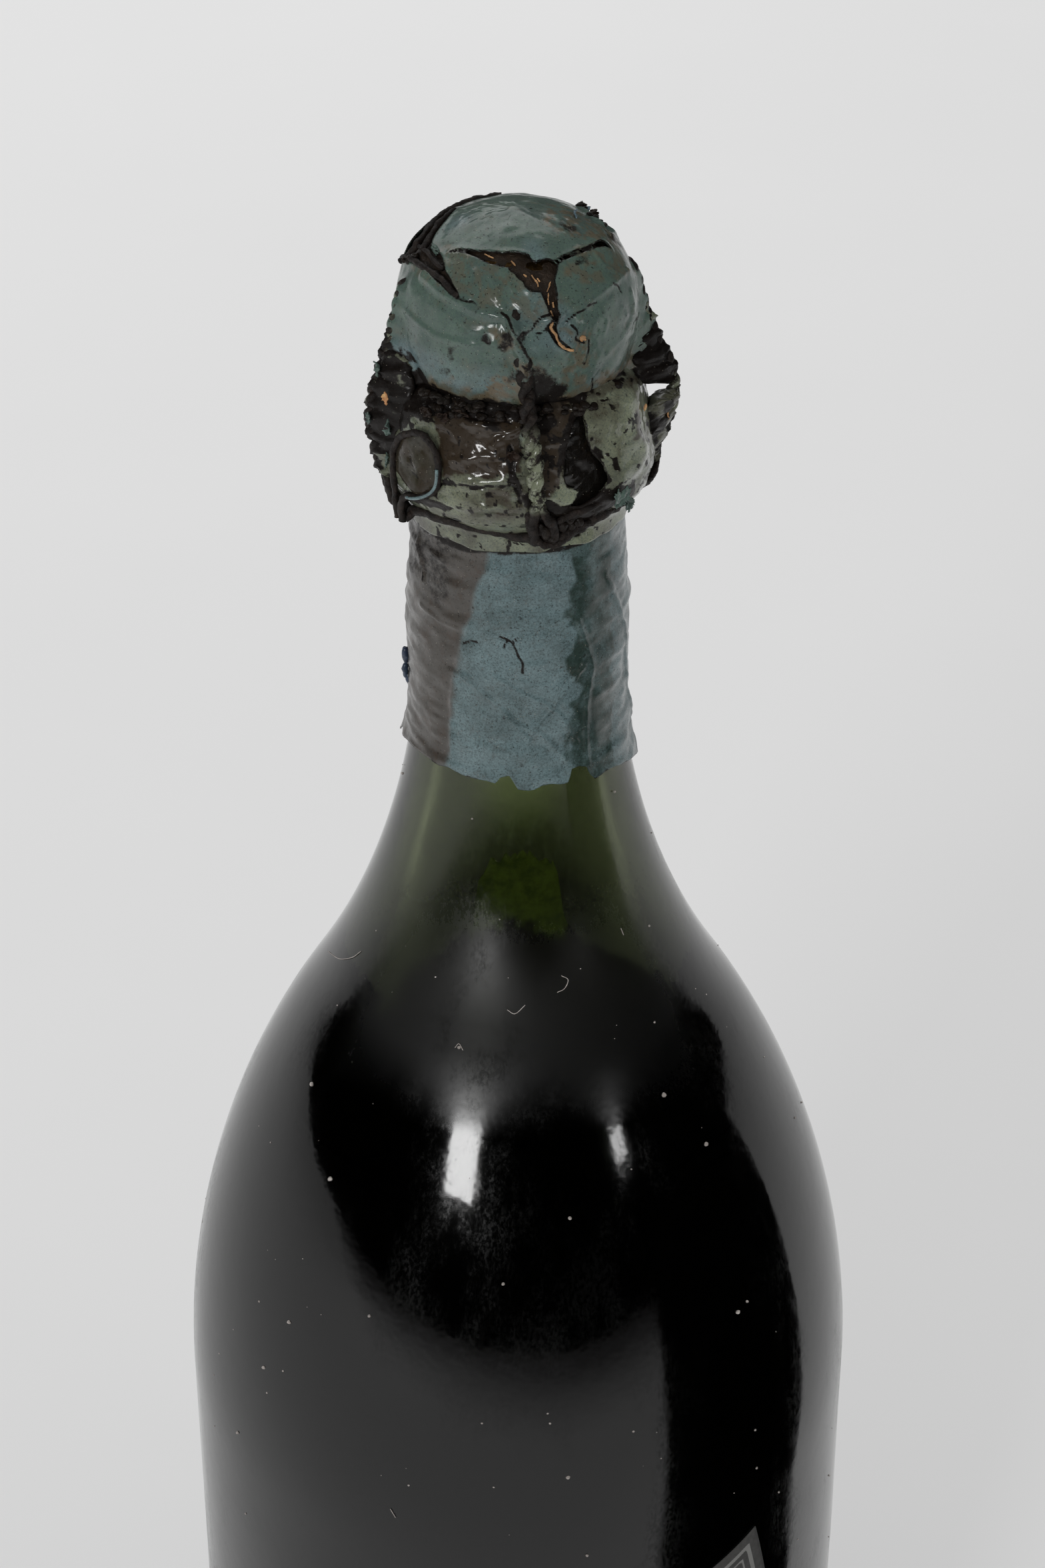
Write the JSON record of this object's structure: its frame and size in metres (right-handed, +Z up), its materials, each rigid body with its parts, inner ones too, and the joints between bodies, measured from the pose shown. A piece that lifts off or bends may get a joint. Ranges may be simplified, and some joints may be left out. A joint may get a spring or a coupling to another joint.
{
  "type": "champagne bottle",
  "caption": "Sealed champagne bottle with a deep punt, corked and wired under torn metal foil, with a folded pull loop on the cage's belt and a blank label.",
  "frame": {"origin": "centre of the base, on the plane that the bottle stands on", "axes": "+Z up along the bottle's axis; the front, the middle of the label, faces -Y; +X is to the right of someone who faces the label"},
  "size_m": [0.09, 0.0901, 0.3042],
  "materials": {
    "green_glass": "smooth, dusty dark green bottle glass",
    "wine": "clear liquid",
    "label_paper": "aged matt paper",
    "foil": "glossy, crazed blue-green lacquer on thin metal foil",
    "cork": "aged natural cork",
    "plate_metal": "tarnished",
    "wire": "dark rust"
  },
  "bodies": {
    "bottle": {"bottle_glass": "green_glass", "wine": "wine", "label": "label_paper", "neck_foil": "foil", "collar_foil": "foil"},
    "cork": {"cork": "cork"},
    "cage": {"cage_wire_1": "wire", "cage_wire_2": "wire", "cage_wire_3": "wire", "cage_wire_4": "wire", "belt_wire": "wire", "cap_plate": "plate_metal", "cap_foil": "foil"},
    "loop": {"pull_loop": "wire"}
  },
  "joints": [
    {"name": "cork_pull", "type": "slide", "parent": "bottle", "child": "cork", "axis": [0, 0, 1], "range_m": [0, 0.03]},
    {"name": "cage_lift", "type": "slide", "parent": "cork", "child": "cage", "axis": [0, 0, 1], "range_m": [0, 0.04], "deforming": ["cage_wire_1", "cage_wire_2", "cage_wire_3", "cage_wire_4", "belt_wire"]},
    {"name": "loop_swing", "type": "hinge", "parent": "cage", "child": "loop", "pos_m": [-0.01499, -0.00531, 0.26835], "axis": [0.3338, -0.9426, 0], "range_deg": [0, 100]}
  ]
}
